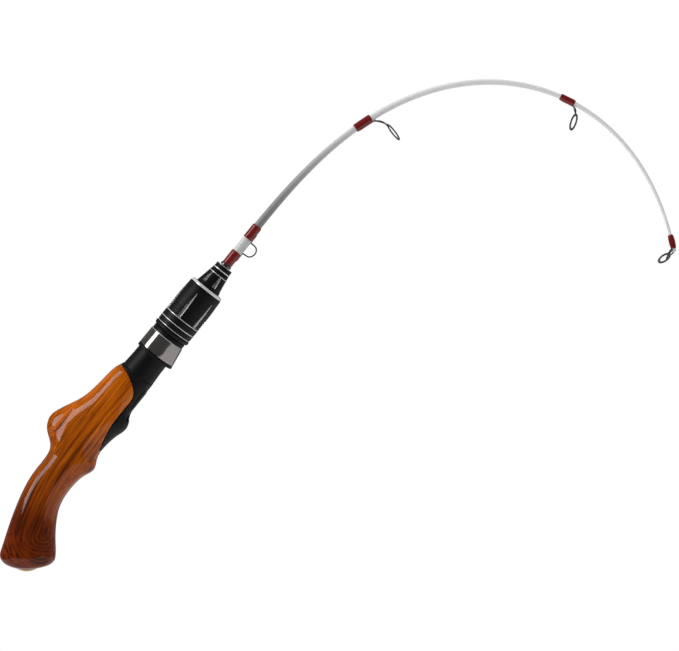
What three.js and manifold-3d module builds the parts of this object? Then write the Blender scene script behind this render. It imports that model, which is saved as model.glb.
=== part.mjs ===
// Ice fishing rod with a wooden grip, a screw-locked spinning reel seat and a bent solid-glass blank.
// Millimetres, +Z up. The rod is modelled straight along its own +X (towards the tip) with the reel
// side on -Z, then the whole group is tilted to the angle at which the rod is held.
// The origin is on the seat axis, in the middle of the grip's neck.

import * as THREE from "three";
import { mergeVertices } from "three/addons/utils/BufferGeometryUtils.js";
import Module from "manifold-3d";

const wasm = await Module();
wasm.setup();

// ---------- driving dimensions ----------

const HOLD_ANGLE = THREE.MathUtils.degToRad(51); // seat axis above the horizontal
const GAP = 0.3; // clearance between separate pieces
const THREAD_GAP = 0.15; // clearance under the thin thread wraps

// Stations along the seat axis (X)
const SPIGOT_BACK = 20;
const SEAT_BACK = 31;
const POCKET_BACK = 47;
const PAD_FRONT = 91;
const TUBE_BACK = 76;
const STEP = 106.8; // plain tube ends, thread starts
const THREAD_END = 144;
const HOOD_LIP_BACK = 104;
const HOOD_BACK = 106.4;
const HOOD_FRONT = 119.1;
const COLLAR_FRONT = 122.3;
const NUT_BACK = 126.2;
const NUT_FRONT = 160.2;
const CONE_BACK = 162.3;
const CONE_FRONT = 176.9;
const CONE_COLLAR_FRONT = 180.4;

// Radii about the seat axis
const BORE_R = 7;
const SPIGOT_R = 10.2;
const TUBE_R = 12.15;
const THREAD_R = 10.6;
const HOOD_R = 12.8;
const HOOD_WALL = 0.8;
const HOOD_FLARE = 1.9; // extra height of the reel-foot pocket at the hood's mouth
const NUT_R = 13.1;

// Reel-foot pad: a flat on the belly, with a fixed pocket behind it
const PAD_Z = -12.2;
const PAD_HALF_WIDTH = 6;
const POCKET_HALF_WIDTH = 6.2;
const POCKET_FLOOR_Z = -14.6;

// Blank: straight to BEND_START, then a bend whose turn grows as a polynomial of the fraction of
// BEND_LENGTH already covered
const BLANK_BACK = 26;
const BEND_START = 217.1;
const BEND_LENGTH = 369;
const BEND_TURN = [0.45, 2.32, 1.56, -2.09]; // radians, first to fourth power
const BLANK_TIP = 370.3; // along the bend
const BLANK_TAPER = [
  [-191.1, 3.1],
  [-34, 3.1],
  [10, 2.65],
  [69, 2.2],
  [200, 1.85],
  [257, 1.45],
  [369, 1],
]; // distance from BEND_START, radius
const WIRE_R = 0.42;

const ROUND = 28; // sides of the large turned parts
const SMALL_ROUND = 10; // sides of the blank and what is wound on it
const HOOP_SECTION_SIDES = 6;
const HOOP_STEPS = 20;

// ---------- solids ----------

// Welds a geometry into one closed skin of positions and turns it to face out.
function weld(geometry) {
  const bare = geometry.clone();
  for (const name of Object.keys(bare.attributes)) {
    if (name !== "position") bare.deleteAttribute(name);
  }
  const merged = mergeVertices(bare, 1e-4);
  const position = merged.getAttribute("position");
  const corners = [0, 1, 2].map(() => new THREE.Vector3());
  const kept = [];
  let volume = 0;
  for (let i = 0; i < merged.index.count; i += 3) {
    const face = [0, 1, 2].map((k) => merged.index.getX(i + k));
    if (new Set(face).size < 3) continue;
    face.forEach((vertex, k) => corners[k].fromBufferAttribute(position, vertex));
    volume += corners[0].dot(corners[1].clone().cross(corners[2]));
    kept.push(face);
  }
  if (volume < 0) kept.forEach((face) => face.reverse());
  merged.setIndex(kept.flat());
  return merged;
}

function toSolid(geometry) {
  const welded = weld(geometry);
  const mesh = new wasm.Mesh({
    numProp: 3,
    vertProperties: new Float32Array(welded.getAttribute("position").array),
    triVerts: new Uint32Array(welded.index.array),
  });
  return new wasm.Manifold(mesh);
}

function toGeometry(solid) {
  const mesh = solid.getMesh();
  const geometry = new THREE.BufferGeometry();
  geometry.setAttribute("position", new THREE.BufferAttribute(new Float32Array(mesh.vertProperties), 3));
  geometry.setIndex([...mesh.triVerts]);
  return geometry;
}

function join(first, ...others) {
  return others.reduce((sum, other) => sum.add(other), first);
}

function cut(first, ...others) {
  return others.reduce((rest, other) => rest.subtract(other), first);
}

// Closed skin through rings of points, with a fan over each end.
function loft(rings) {
  const sides = rings[0].length;
  const points = rings.flat();
  const faces = [];
  for (let i = 0; i + 1 < rings.length; i++) {
    for (let k = 0; k < sides; k++) {
      const a = i * sides + k;
      const b = i * sides + ((k + 1) % sides);
      faces.push(a, b, a + sides, b, b + sides, a + sides);
    }
  }
  for (const [start, flip] of [[0, true], [(rings.length - 1) * sides, false]]) {
    const hub = points.length;
    const centre = new THREE.Vector3();
    for (let k = 0; k < sides; k++) centre.addScaledVector(points[start + k], 1 / sides);
    points.push(centre);
    for (let k = 0; k < sides; k++) {
      const next = start + ((k + 1) % sides);
      faces.push(hub, ...(flip ? [next, start + k] : [start + k, next]));
    }
  }
  const geometry = new THREE.BufferGeometry().setFromPoints(points);
  geometry.setIndex(faces);
  return geometry;
}

// A part turned about the seat axis from [station, radius] points. Without a bore the profile
// closes on the axis; with one it closes on itself.
function turned(outline, bore = 0, sides = ROUND) {
  const inner = [outline[outline.length - 1], outline[0]].map(([x]) => [x, bore]);
  const profile = [inner[1], ...outline, inner[0]];
  if (bore > 0) profile.push(inner[1]);
  const points = profile.map(([x, r]) => new THREE.Vector2(r, x));
  return new THREE.LatheGeometry(points, sides).rotateZ(-Math.PI / 2);
}

function tube(from, to, radius, bore = 0, sides = ROUND) {
  return turned([[from, radius], [to, radius]], bore, sides);
}

function box(x0, x1, halfWidth, z0, z1) {
  const block = new THREE.BoxGeometry(x1 - x0, 2 * halfWidth, z1 - z0);
  return block.translate((x0 + x1) / 2, 0, (z0 + z1) / 2);
}

// A side outline in X and Z, made into a slab across Y.
function slab(shape, halfWidth) {
  const settings = { depth: 2 * halfWidth, bevelEnabled: false, curveSegments: 14 };
  const sheet = new THREE.ExtrudeGeometry(shape, settings);
  return sheet.rotateX(Math.PI / 2).translate(0, halfWidth, 0);
}

function wire(points, radius = WIRE_R, steps = 12) {
  const section = new THREE.Shape().absarc(0, 0, radius, 0, 2 * Math.PI);
  const extrudePath = new THREE.CatmullRomCurve3(points);
  return new THREE.ExtrudeGeometry(section, { steps, extrudePath, bevelEnabled: false, curveSegments: 3 });
}

const rod = new THREE.Group();
rod.name = "ice_fishing_rod";
rod.rotation.y = -HOLD_ANGLE;

function add(name, shape, look) {
  const geometry = weld(shape instanceof THREE.BufferGeometry ? shape : toGeometry(shape));
  geometry.computeVertexNormals();
  const mesh = new THREE.Mesh(geometry, new THREE.MeshStandardMaterial(look));
  mesh.name = name;
  rod.add(mesh);
}

// ---------- colours ----------

const WOOD = { color: 0x9c4a12, roughness: 0.18, metalness: 0 };
const BRASS = { color: 0xa8843c, roughness: 0.3, metalness: 1 };
const SOFT_BLACK = { color: 0x17191a, roughness: 0.5, metalness: 0 };
const CHROME = { color: 0x8c8a8c, roughness: 0.12, metalness: 1 };
const BLACK_ANODISED = { color: 0x0c0c0d, roughness: 0.25, metalness: 0.6 };
const BRIGHT = { color: 0xd8d8d8, roughness: 0.15, metalness: 1 };
const GLASS = { color: 0xf2f2f0, roughness: 0.25, metalness: 0 };
const CORK = { color: 0x9b8463, roughness: 0.9, metalness: 0 };
const THREAD = { color: 0x7a1210, roughness: 0.15, metalness: 0 };
const STEEL = { color: 0x9a9a9a, roughness: 0.2, metalness: 1 };
const CERAMIC = { color: 0x4a4a4c, roughness: 0.1, metalness: 0 };

// ---------- handle ----------

// Handle sections from the butt to the seat tube: top point, belly point, half width, and how much
// the upper half narrows towards the top.
const HANDLE_SECTIONS = [
  { top: [-62.4, -22], belly: [-59.6, -25.8], half: 2.4, pinch: 0 },
  { top: [-64.8, -15.5], belly: [-53.4, -30.9], half: 9.2, pinch: 0 },
  { top: [-66, -9.4], belly: [-48.6, -34.3], half: 12.2, pinch: 0 },
  { top: [-64, -4.6], belly: [-44.4, -34.8], half: 13.4, pinch: 0 },
  { top: [-58.5, -2.1], belly: [-39.2, -31.5], half: 13.8, pinch: 0 },
  { top: [-44.5, 3.3], belly: [-31.8, -25.2], half: 13.4, pinch: 0 },
  { top: [-28.2, 8.7], belly: [-21.8, -18.4], half: 12.8, pinch: 0.05 },
  { top: [-10.5, 12.5], belly: [-9.9, -13.9], half: 12.4, pinch: 0.08 },
  { top: [5, 13], belly: [5.3, -13.5], half: 12.6, pinch: 0.1 },
  { top: [14.6, 15.8], belly: [14.4, -15.9], half: 13, pinch: 0.2 },
  { top: [20.4, 23.4], belly: [20.2, -17.1], half: 13.3, pinch: 0.35 },
  { top: [27.6, 27.8], belly: [27, -14.1], half: 13.5, pinch: 0.42 },
  { top: [35.4, 26.8], belly: [35.4, -13.4], half: 13.6, pinch: 0.4 },
  { top: [46, 22], belly: [46, -15], half: 13.6, pinch: 0.32 },
  { top: [54.6, 18.6], belly: [54.6, -16.9], half: 13.5, pinch: 0.22 },
  { top: [62.5, 17.1], belly: [62.5, -13.8], half: 13.4, pinch: 0.14 },
  { top: [71, 16.1], belly: [71, -12.4], half: 13.3, pinch: 0.08 },
  { top: [80.4, 15.1], belly: [80.4, -12.1], half: 13.1, pinch: 0.02 },
  { top: [88, 12.4], belly: [88, -12.1], half: 12.5, pinch: 0 },
];
const HANDLE_SQUARENESS = 2.35; // 2 is an ellipse, more is fuller at the corners
const HANDLE_STEPS = 30;
const HANDLE_SIDES = 20;

function handleForm(trim) {
  const through = (pick) => {
    const points = HANDLE_SECTIONS.map((section) => new THREE.Vector3(...pick(section)));
    return new THREE.CatmullRomCurve3(points);
  };
  const tops = through(({ top: [x, z] }) => [x, 0, z]);
  const bellies = through(({ belly: [x, z] }) => [x, 0, z]);
  const widths = through(({ half, pinch }) => [half, pinch, 0]);
  const rings = [];
  for (let i = 0; i <= HANDLE_STEPS; i++) {
    const [top, belly, width] = [tops, bellies, widths].map((curve) => curve.getPoint(i / HANDLE_STEPS));
    const middle = top.clone().lerp(belly, 0.5);
    const rise = top.clone().sub(middle);
    const ring = [];
    for (let k = 0; k < HANDLE_SIDES; k++) {
      const angle = (2 * Math.PI * k) / HANDLE_SIDES;
      const [across, up] = [Math.cos(angle), Math.sin(angle)].map(
        (v) => Math.sign(v) * Math.abs(v) ** (2 / HANDLE_SQUARENESS),
      );
      const narrowing = 1 - width.y * Math.max(0, up) ** 2;
      const point = middle.clone().addScaledVector(rise, up);
      point.y = across * narrowing * Math.max(1, width.x - trim);
      ring.push(point);
    }
    rings.push(ring);
  }
  return toSolid(loft(rings));
}

// The wood's curved edge, from the belly forwards and then up the side of the seat tube: X and Z.
const WOOD_EDGE = [
  [37.6, -11.5],
  [45.9, -9.8],
  [55, -8.9],
  [66, -8.7],
  [73, -8.7],
  [78.2, -6.5],
  [82.2, -1.8],
  [85, 3.4],
  [86.3, 8],
  [86.9, 12.4],
];
const OUTSIDE = { front: 110, low: -40, high: 40, half: 30 }; // clear of the handle all round

// Everything in front of and below the wood's curved edge.
function seatZone(shift) {
  const moved = WOOD_EDGE.map(([x, z]) => new THREE.Vector2(x - shift, z + shift));
  const shape = new THREE.Shape();
  shape.moveTo(OUTSIDE.front, OUTSIDE.low);
  shape.lineTo(26, OUTSIDE.low);
  shape.lineTo(26 - shift, -14.7 + shift);
  shape.lineTo(SEAT_BACK - shift, -13.2 + shift);
  shape.splineThru(moved);
  shape.lineTo(88 - shift, OUTSIDE.high);
  shape.lineTo(OUTSIDE.front, OUTSIDE.high);
  return toSolid(slab(shape, OUTSIDE.half));
}

const BUTT_AXIS = new THREE.Vector3(-0.8, 0, -0.6);
const BUTT_CENTRE = new THREE.Vector3(-60.4, 0, -24.3);

// Turns a part made along the seat axis to point out of the butt.
function atButt(geometry) {
  const turn = new THREE.Quaternion().setFromUnitVectors(new THREE.Vector3(1, 0, 0), BUTT_AXIS);
  return geometry.applyQuaternion(turn).translate(BUTT_CENTRE.x, 0, BUTT_CENTRE.z);
}

function addWoodGrip() {
  const seatBore = toSolid(tube(SPIGOT_BACK - GAP, 95, SPIGOT_R + GAP));
  const medallionSeat = toSolid(atButt(tube(-0.2 - GAP, 8, 7 + GAP, 0, 32)));
  const medallionHole = toSolid(atButt(tube(-6.3, 1, 2.5 + GAP, 0, 16)));
  add("wood_grip", cut(handleForm(0), seatZone(0.25), seatBore, medallionSeat, medallionHole), WOOD);
}

function addButtMedallion() {
  const dome = turned([[-0.2, 7], [0.3, 7], [0.8, 6], [1.2, 4], [1.4, 1.5]], 0, 32);
  const stem = tube(-6, 0, 2.5, 0, 16);
  add("butt_medallion", join(toSolid(atButt(dome)), toSolid(atButt(stem))), BRASS);
}

// Seat tube in front of the wood: station and radius.
const SEAT_TUBE = [
  [86.9, TUBE_R],
  [90, 11.95],
  [94, 11.7],
  [98, 11.5],
  [STEP, 11.4],
  [STEP, THREAD_R],
  [THREAD_END, THREAD_R],
];

function addSeatBody() {
  const lower = join(handleForm(0.8), toSolid(tube(TUBE_BACK, 90, TUBE_R))).intersect(seatZone(0));
  const spigot = toSolid(tube(SPIGOT_BACK, 90, SPIGOT_R));
  const front = toSolid(turned(SEAT_TUBE));
  const pad = toSolid(box(64, PAD_FRONT, PAD_HALF_WIDTH, PAD_Z, -9));
  const pocket = toSolid(box(POCKET_BACK, PAD_FRONT + 1, POCKET_HALF_WIDTH, POCKET_FLOOR_Z, PAD_Z));
  const bore = toSolid(tube(SPIGOT_BACK - 1, THREAD_END + 1, BORE_R));
  const keyway = toSolid(box(STEP + 0.7, THREAD_END + 1, 1.5, 9.6, 12));
  add("seat_body", cut(join(lower, spigot, front, pad), pocket, bore, keyway), SOFT_BLACK);
}

// ---------- moving hood ----------

// The hood's skin at a wall offset: round on top, flaring towards the belly at the mouth.
function hoodForm(from, to, offset) {
  const rings = [from, to].map((x) => {
    const flare = (HOOD_FLARE * (HOOD_FRONT - x)) / (HOOD_FRONT - HOOD_BACK);
    const ring = [];
    for (let k = 0; k < ROUND; k++) {
      const angle = (2 * Math.PI * k) / ROUND;
      const radius = HOOD_R + offset + flare * Math.max(0, -Math.sin(angle)) ** 2;
      ring.push(new THREE.Vector3(x, radius * Math.cos(angle), radius * Math.sin(angle)));
    }
    return ring;
  });
  return toSolid(loft(rings));
}

function addHood() {
  const frontWall = HOOD_FRONT - 1.5;
  const mouth = hoodForm(HOOD_BACK - 1, frontWall, -HOOD_WALL);
  const passage = toSolid(tube(frontWall - 1, HOOD_FRONT + 1, THREAD_R + GAP));
  add("hood_shell", cut(hoodForm(HOOD_BACK, HOOD_FRONT, 0), mouth, passage), CHROME);
  const lipMouth = hoodForm(HOOD_LIP_BACK - 1, HOOD_BACK + 1, -HOOD_WALL);
  add("hood_lip", hoodForm(HOOD_LIP_BACK, HOOD_BACK - GAP, 0.1).subtract(lipMouth), SOFT_BLACK);
  const collar = toSolid(tube(HOOD_FRONT + GAP, COLLAR_FRONT, 12.2, THREAD_R + GAP));
  const key = toSolid(box(HOOD_FRONT + GAP, COLLAR_FRONT, 1.2, 9.95, 11.5));
  add("hood_collar", collar.add(key), BLACK_ANODISED);
}

// ---------- lock nut ----------

const FLUTES = 6;
const FLUTE_FIRST = THREE.MathUtils.degToRad(-7.7); // from the side that faces -Y, towards the belly

// A long wedge that cuts one pointed flute into the outside of a turned part.
function flute(from, to, halfWidth, rearRadius, frontRadius, depth, angle) {
  const rings = [[from, halfWidth, rearRadius], [to, 0.12, frontRadius]].map(([x, half, radius]) => [
    new THREE.Vector3(x, -half, radius - depth),
    new THREE.Vector3(x, half, radius - depth),
    new THREE.Vector3(x, half * 1.4, radius + 1),
    new THREE.Vector3(x, -half * 1.4, radius + 1),
  ]);
  return toSolid(loft(rings).rotateX(Math.PI / 2 + angle));
}

const GROOVES = [130.3, 135.3]; // bright-cut lines round the nut
const GROOVE_R = 12.8;
const RIDGES = [137.7, 139.5, 141.4, 143.1];
const NUT_TAPER = [[144, 12.85], [147.4, 13], [153, 12.85], [159, 12.5], [NUT_FRONT, 12.15]];

function addNut() {
  add("nut_bead", tube(COLLAR_FRONT + GAP, NUT_BACK - GAP, 13.4, 11.1), BLACK_ANODISED);
  const outline = [[NUT_BACK, 12.6], [NUT_BACK + 0.5, NUT_R]];
  for (const groove of GROOVES) {
    outline.push([groove - 0.3, NUT_R], [groove, GROOVE_R], [groove + 0.3, NUT_R]);
  }
  for (const ridge of RIDGES) outline.push([ridge - 0.9, GROOVE_R], [ridge, NUT_R]);
  outline.push(...NUT_TAPER);
  const insertRoom = toSolid(tube(NUT_BACK - 1, 142.3, 12));
  const threadRoom = toSolid(tube(NUT_BACK - 1, 155, 11.2));
  const coneRoom = toSolid(tube(NUT_BACK - 1, NUT_FRONT + 1, 8.8));
  const flutes = [];
  for (let i = 0; i < FLUTES; i++) {
    flutes.push(flute(136, 155.4, 1.25, NUT_R, 12.7, 0.6, FLUTE_FIRST + (2 * Math.PI * i) / FLUTES));
  }
  const barrel = cut(toSolid(turned(outline)), insertRoom, threadRoom, coneRoom, ...flutes);
  add("nut_barrel", barrel, BLACK_ANODISED);
  add("nut_thread_insert", tube(NUT_BACK + 0.6, 142, 11.7, THREAD_R + GAP), BRASS);
  add("nut_face_ring", turned([[NUT_FRONT + GAP, 12.1], [161.4, 12.1], [162, 11.5]], 8.8), BRIGHT);
}

function addForeCone() {
  const body = turned([[155.3, 8.5], [CONE_BACK, 8.5], [CONE_BACK, 9], [CONE_FRONT, 6.2]], 3.6);
  const notches = [];
  for (let i = 0; i < FLUTES; i++) {
    const angle = THREE.MathUtils.degToRad(-34) + (2 * Math.PI * i) / FLUTES;
    notches.push(flute(164.8, 172.9, 1.45, 8.4, 7, 0.8, angle));
  }
  add("fore_cone", cut(toSolid(body), ...notches), BLACK_ANODISED);
  const rear = [[CONE_FRONT + GAP, 6], [177.8, 6.2], [178.5, 6.2]];
  const front = [[178.8, 5.8], [179.1, 6.2], [180, 6.2], [CONE_COLLAR_FRONT, 5.8]];
  add("cone_collar", turned([...rear, ...front], 3.6), BLACK_ANODISED);
}

// ---------- blank ----------

// Points of the bent centre line, one every BEND_STEP, from BEND_START on.
const BEND_STEP = 0.5;
const BEND_POINTS = [{ x: BEND_START, z: 0 }];

function bendAngle(distance) {
  const t = THREE.MathUtils.clamp(distance / BEND_LENGTH, 0, 1);
  return -BEND_TURN.reduce((sum, factor, i) => sum + factor * t ** (i + 1), 0);
}

for (let d = BEND_STEP / 2; d < BEND_LENGTH + 20; d += BEND_STEP) {
  const last = BEND_POINTS[BEND_POINTS.length - 1];
  const angle = bendAngle(d);
  BEND_POINTS.push({ x: last.x + BEND_STEP * Math.cos(angle), z: last.z + BEND_STEP * Math.sin(angle) });
}

// The point at a distance along the bend, out from the centre line towards the belly and across.
// Negative distances lie on the straight part.
function onBlank(distance, out = 0, across = 0) {
  const angle = bendAngle(distance);
  let [x, z] = [BEND_START + distance, 0];
  if (distance > 0) {
    const index = Math.floor(distance / BEND_STEP);
    const part = distance / BEND_STEP - index;
    const [a, b] = [BEND_POINTS[index], BEND_POINTS[index + 1]];
    [x, z] = [a.x + (b.x - a.x) * part, a.z + (b.z - a.z) * part];
  }
  return new THREE.Vector3(x + out * Math.sin(angle), across, z - out * Math.cos(angle));
}

function blankRadius(distance) {
  for (let i = 1; i < BLANK_TAPER.length; i++) {
    const [[d0, r0], [d1, r1]] = [BLANK_TAPER[i - 1], BLANK_TAPER[i]];
    if (distance <= d1) return r0 + ((r1 - r0) * (distance - d0)) / (d1 - d0);
  }
  return BLANK_TAPER[BLANK_TAPER.length - 1][1];
}

// A round solid that follows the blank; radiusAt gives its radius at each distance.
function alongBlank(from, to, steps, radiusAt) {
  const rings = [];
  for (let i = 0; i <= steps; i++) {
    const distance = from + ((to - from) * i) / steps;
    const ring = [];
    for (let k = 0; k < SMALL_ROUND; k++) {
      const angle = (2 * Math.PI * k) / SMALL_ROUND;
      const radius = radiusAt(distance);
      ring.push(onBlank(distance, radius * Math.cos(angle), radius * Math.sin(angle)));
    }
    rings.push(ring);
  }
  return loft(rings);
}

function addBlank() {
  const bentSteps = 42;
  const back = BLANK_BACK - BEND_START;
  const straight = [1, 0.75, 0.5, 0.25].map((part) => part * back);
  const bent = Array.from({ length: bentSteps + 1 }, (_, i) => (i * BLANK_TIP) / bentSteps);
  const rings = [...straight, ...bent].map((distance) => {
    const radius = blankRadius(distance);
    return Array.from({ length: SMALL_ROUND }, (_, k) => {
      const angle = (2 * Math.PI * k) / SMALL_ROUND;
      return onBlank(distance, radius * Math.cos(angle), radius * Math.sin(angle));
    });
  });
  add("blank", loft(rings), GLASS);
}

function addArbors() {
  const places = { rear: 30, middle: 74, front: 128 };
  for (const [name, x] of Object.entries(places)) {
    add(`arbor_${name}`, tube(x, x + 10, BORE_R - GAP, 3.1 + GAP, 24), CORK);
  }
}

// ---------- thread wraps ----------

// A wrap of thread over the blank, with a slot where a wire foot lies under the thread.
function addWrap(name, from, to, radiusAt, slots = []) {
  const steps = Math.max(2, Math.round((to - from) / 4));
  const sleeve = toSolid(alongBlank(from, to, steps, radiusAt));
  const room = toSolid(alongBlank(from - 1, to + 1, steps, (d) => blankRadius(d) + THREAD_GAP));
  const footRooms = slots.map(([a, b]) => toSolid(wire(footLine(a, b), WIRE_R + 0.25, 6)));
  add(name, cut(sleeve, room, ...footRooms), THREAD);
}

// The line of a wire foot that lies on the belly of the blank.
function footLine(from, to) {
  return [0, 0.5, 1].map((t) => {
    const distance = from + (to - from) * t;
    return onBlank(distance, blankRadius(distance) + THREAD_GAP + WIRE_R);
  });
}

function addBaseWraps() {
  add("foot_trim", tube(CONE_COLLAR_FRONT + 0.5, 182.4, 3.9, 3.1 + GAP, 24), STEEL);
  const edge = (x) => x - BEND_START;
  addWrap("keeper_wrap_lower", edge(182.8), edge(193.2), () => 3.75, [[edge(187), edge(195)]]);
  addWrap("keeper_wrap_upper", edge(204.4), edge(215.3), () => 3.65, [[edge(203), edge(211)]]);
}

const KEEPER_LOOP = [
  [194.9, -4.6],
  [195, -6.9],
  [196, -9.2],
  [198.6, -10.3],
  [201.4, -10],
  [203.2, -8.3],
  [203.6, -6.1],
  [203.4, -4.4],
];

function addHookKeeper() {
  const foot = (x) => footLine(x - BEND_START, x - BEND_START + 1)[0];
  const bend = KEEPER_LOOP.map(([x, z]) => new THREE.Vector3(x, 0, z));
  const line = [foot(188), foot(190.5), foot(193.2), ...bend, foot(205.2), foot(207.8), foot(210)];
  add("hook_keeper", wire(line, WIRE_R, 30), STEEL);
}

// ---------- guides ----------

// Each ring's centre as distance along the bend and height over the centre line, its mean radius,
// its forward tilt and its turn about its own leg in degrees, and where its foot and its wrap run.
const GUIDES = {
  guide_1: {
    centre: [112.1, 15.8],
    radius: 6.3,
    tilt: 7.3,
    turn: 17,
    foot: [93, 103],
    wrap: [90.9, 103.6],
    wrapRadius: 3.15,
  },
  guide_2: {
    centre: [253.1, 11.1],
    radius: 5.4,
    tilt: 9,
    turn: 26,
    foot: [238.5, 247],
    wrap: [236.5, 247.1],
    wrapRadius: 2.5,
  },
};
const TIP_TOP = { centre: [373.5, 7.5], radius: 4.45, tilt: 15, turn: 33 };
const TIP_TUBE = { from: 360, to: 371.6, radius: 1.6 };
const RING_R = 0.35; // section of a ceramic ring

// The directions of a hoop: out from the blank, across, and through the ring.
function hoopAxes({ centre: [distance], tilt, turn }) {
  const [lean, yaw] = [tilt, turn].map(THREE.MathUtils.degToRad);
  const down = onBlank(distance, 1).sub(onBlank(distance));
  const ahead = tangent(distance);
  const out = down.clone().multiplyScalar(Math.cos(lean)).addScaledVector(ahead, Math.sin(lean));
  const straight = ahead.clone().multiplyScalar(Math.cos(lean)).addScaledVector(down, -Math.sin(lean));
  const across = new THREE.Vector3(0, Math.cos(yaw), 0).addScaledVector(straight, Math.sin(yaw));
  return [out, across, out.clone().cross(across)];
}

// A point of a guide's hoop, counted from the end nearest the blank.
function onHoop(guide, angle) {
  const [out, across] = hoopAxes(guide);
  return onBlank(...guide.centre)
    .addScaledVector(out, -guide.radius * Math.cos(angle))
    .addScaledVector(across, guide.radius * Math.sin(angle));
}

function tangent(distance) {
  const angle = bendAngle(distance);
  return new THREE.Vector3(Math.cos(angle), 0, Math.sin(angle));
}

function hoop(guide, section) {
  const ring = new THREE.TorusGeometry(guide.radius, section, HOOP_SECTION_SIDES, HOOP_STEPS);
  const place = new THREE.Matrix4().makeBasis(...hoopAxes(guide));
  return ring.applyMatrix4(place.setPosition(onBlank(...guide.centre)));
}

// Two wires that rise from the foot and spread to the sides of the hoop.
function guideArms(guide) {
  const [from, to] = guide.foot;
  return [-1, 1].map((side) => {
    const line = footLine(from, to);
    const start = blankRadius(to) + THREAD_GAP + WIRE_R;
    const end = onHoop(guide, side * 0.6);
    const lift = guide.centre[1] - guide.radius - start;
    const rise = onBlank(to + 0.36 * lift, start + 0.12 * lift, side * 0.6);
    const knee = onBlank(to + 0.83 * lift, start + 0.52 * lift, side * 1.6);
    return toSolid(wire([...line, rise, knee, end], WIRE_R, 12));
  });
}

function addGuides() {
  for (const [name, guide] of Object.entries(GUIDES)) {
    add(`${name}_frame`, join(toSolid(hoop(guide, WIRE_R)), ...guideArms(guide)), STEEL);
    const insert = { ...guide, radius: guide.radius - WIRE_R - GAP - RING_R };
    add(`${name}_ring`, hoop(insert, RING_R), CERAMIC);
    const [from, to] = guide.wrap;
    addWrap(`${name}_wrap`, from, to, () => guide.wrapRadius, [[from - 3, to + 3]]);
  }
}

function addTipTop() {
  const { from, to, radius } = TIP_TUBE;
  const sleeve = toSolid(alongBlank(from, to, 4, () => radius));
  const room = toSolid(alongBlank(from - 1, BLANK_TIP + 0.3, 4, (d) => blankRadius(d) + THREAD_GAP));
  const arms = [-1, 1].map((side) => {
    const [root, spread] = [onBlank(368.9, 1.2, side * 0.5), onBlank(370.6, 3.2, side * 1.8)];
    return toSolid(wire([root, spread, onHoop(TIP_TOP, side * 1.35)], WIRE_R, 6));
  });
  const link = toSolid(wire([onBlank(370.9, 0), onBlank(371.6, 1.6), onHoop(TIP_TOP, 0)], WIRE_R, 4));
  const frame = join(toSolid(hoop(TIP_TOP, WIRE_R)), sleeve, ...arms, link).subtract(room);
  add("tip_top_frame", frame, STEEL);
  add("tip_top_ring", hoop({ ...TIP_TOP, radius: TIP_TOP.radius - WIRE_R - GAP - RING_R }, RING_R), CERAMIC);
  const spindle = (d) => 2.1 + 0.35 * Math.sin((Math.PI * (d - 359.3)) / 9.4);
  const wrap = toSolid(alongBlank(359.3, 368.4, 4, spindle));
  const tubeRoom = toSolid(alongBlank(355, to + 1, 4, () => radius + THREAD_GAP));
  add("tip_wrap", wrap.subtract(tubeRoom), THREAD);
}

addWoodGrip();
addButtMedallion();
addSeatBody();
addHood();
addNut();
addForeCone();
addBlank();
addArbors();
addBaseWraps();
addHookKeeper();
addGuides();
addTipTop();

export default rod;
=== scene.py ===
"""The look of the ice fishing rod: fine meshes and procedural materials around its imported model.

Lengths are millimetres in the rod's own frame: X along the seat axis towards the tip, Z away from the
reel, the origin in the neck of the grip. rod_mesh() turns them into the row frame, in metres.
"""
import math

import bmesh
import bpy
import numpy as np
from mathutils import Matrix, Vector


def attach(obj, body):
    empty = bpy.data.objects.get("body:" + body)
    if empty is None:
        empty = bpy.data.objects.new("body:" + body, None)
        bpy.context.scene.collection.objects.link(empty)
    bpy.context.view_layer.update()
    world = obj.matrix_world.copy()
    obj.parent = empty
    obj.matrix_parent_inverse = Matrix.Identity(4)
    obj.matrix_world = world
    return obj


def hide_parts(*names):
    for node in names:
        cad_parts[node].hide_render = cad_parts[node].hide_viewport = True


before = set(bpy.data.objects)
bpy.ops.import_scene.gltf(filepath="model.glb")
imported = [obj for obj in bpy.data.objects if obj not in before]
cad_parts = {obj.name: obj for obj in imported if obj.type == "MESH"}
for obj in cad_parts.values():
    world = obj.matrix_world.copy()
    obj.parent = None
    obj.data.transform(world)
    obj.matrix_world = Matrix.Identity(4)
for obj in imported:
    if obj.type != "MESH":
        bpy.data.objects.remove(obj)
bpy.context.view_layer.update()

HOLD_ANGLE = math.radians(51)
MM = 0.001
ROD_TO_ROW = Matrix.Rotation(-HOLD_ANGLE, 4, "Y") @ Matrix.Scale(MM, 4)
TURNED_SIDES = 144
WIRE_RADIUS = 0.48
WIRE_SIDES = 16
FINE_VOXEL = 0.4


# ---------- meshes ----------

def rod_mesh(name, points, faces):
    """A new object from points in the rod's frame."""
    mesh = bpy.data.meshes.new(name)
    mesh.from_pydata([tuple(p) for p in points], [], faces)
    mesh.transform(ROD_TO_ROW)
    mesh.update()
    made = bpy.data.objects.new(name, mesh)
    bpy.context.scene.collection.objects.link(made)
    face_out(made)
    return made


def face_out(made):
    work = bmesh.new()
    work.from_mesh(made.data)
    bmesh.ops.remove_doubles(work, verts=work.verts, dist=1e-7)
    bmesh.ops.recalc_face_normals(work, faces=work.faces)
    work.to_mesh(made.data)
    work.free()


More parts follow.
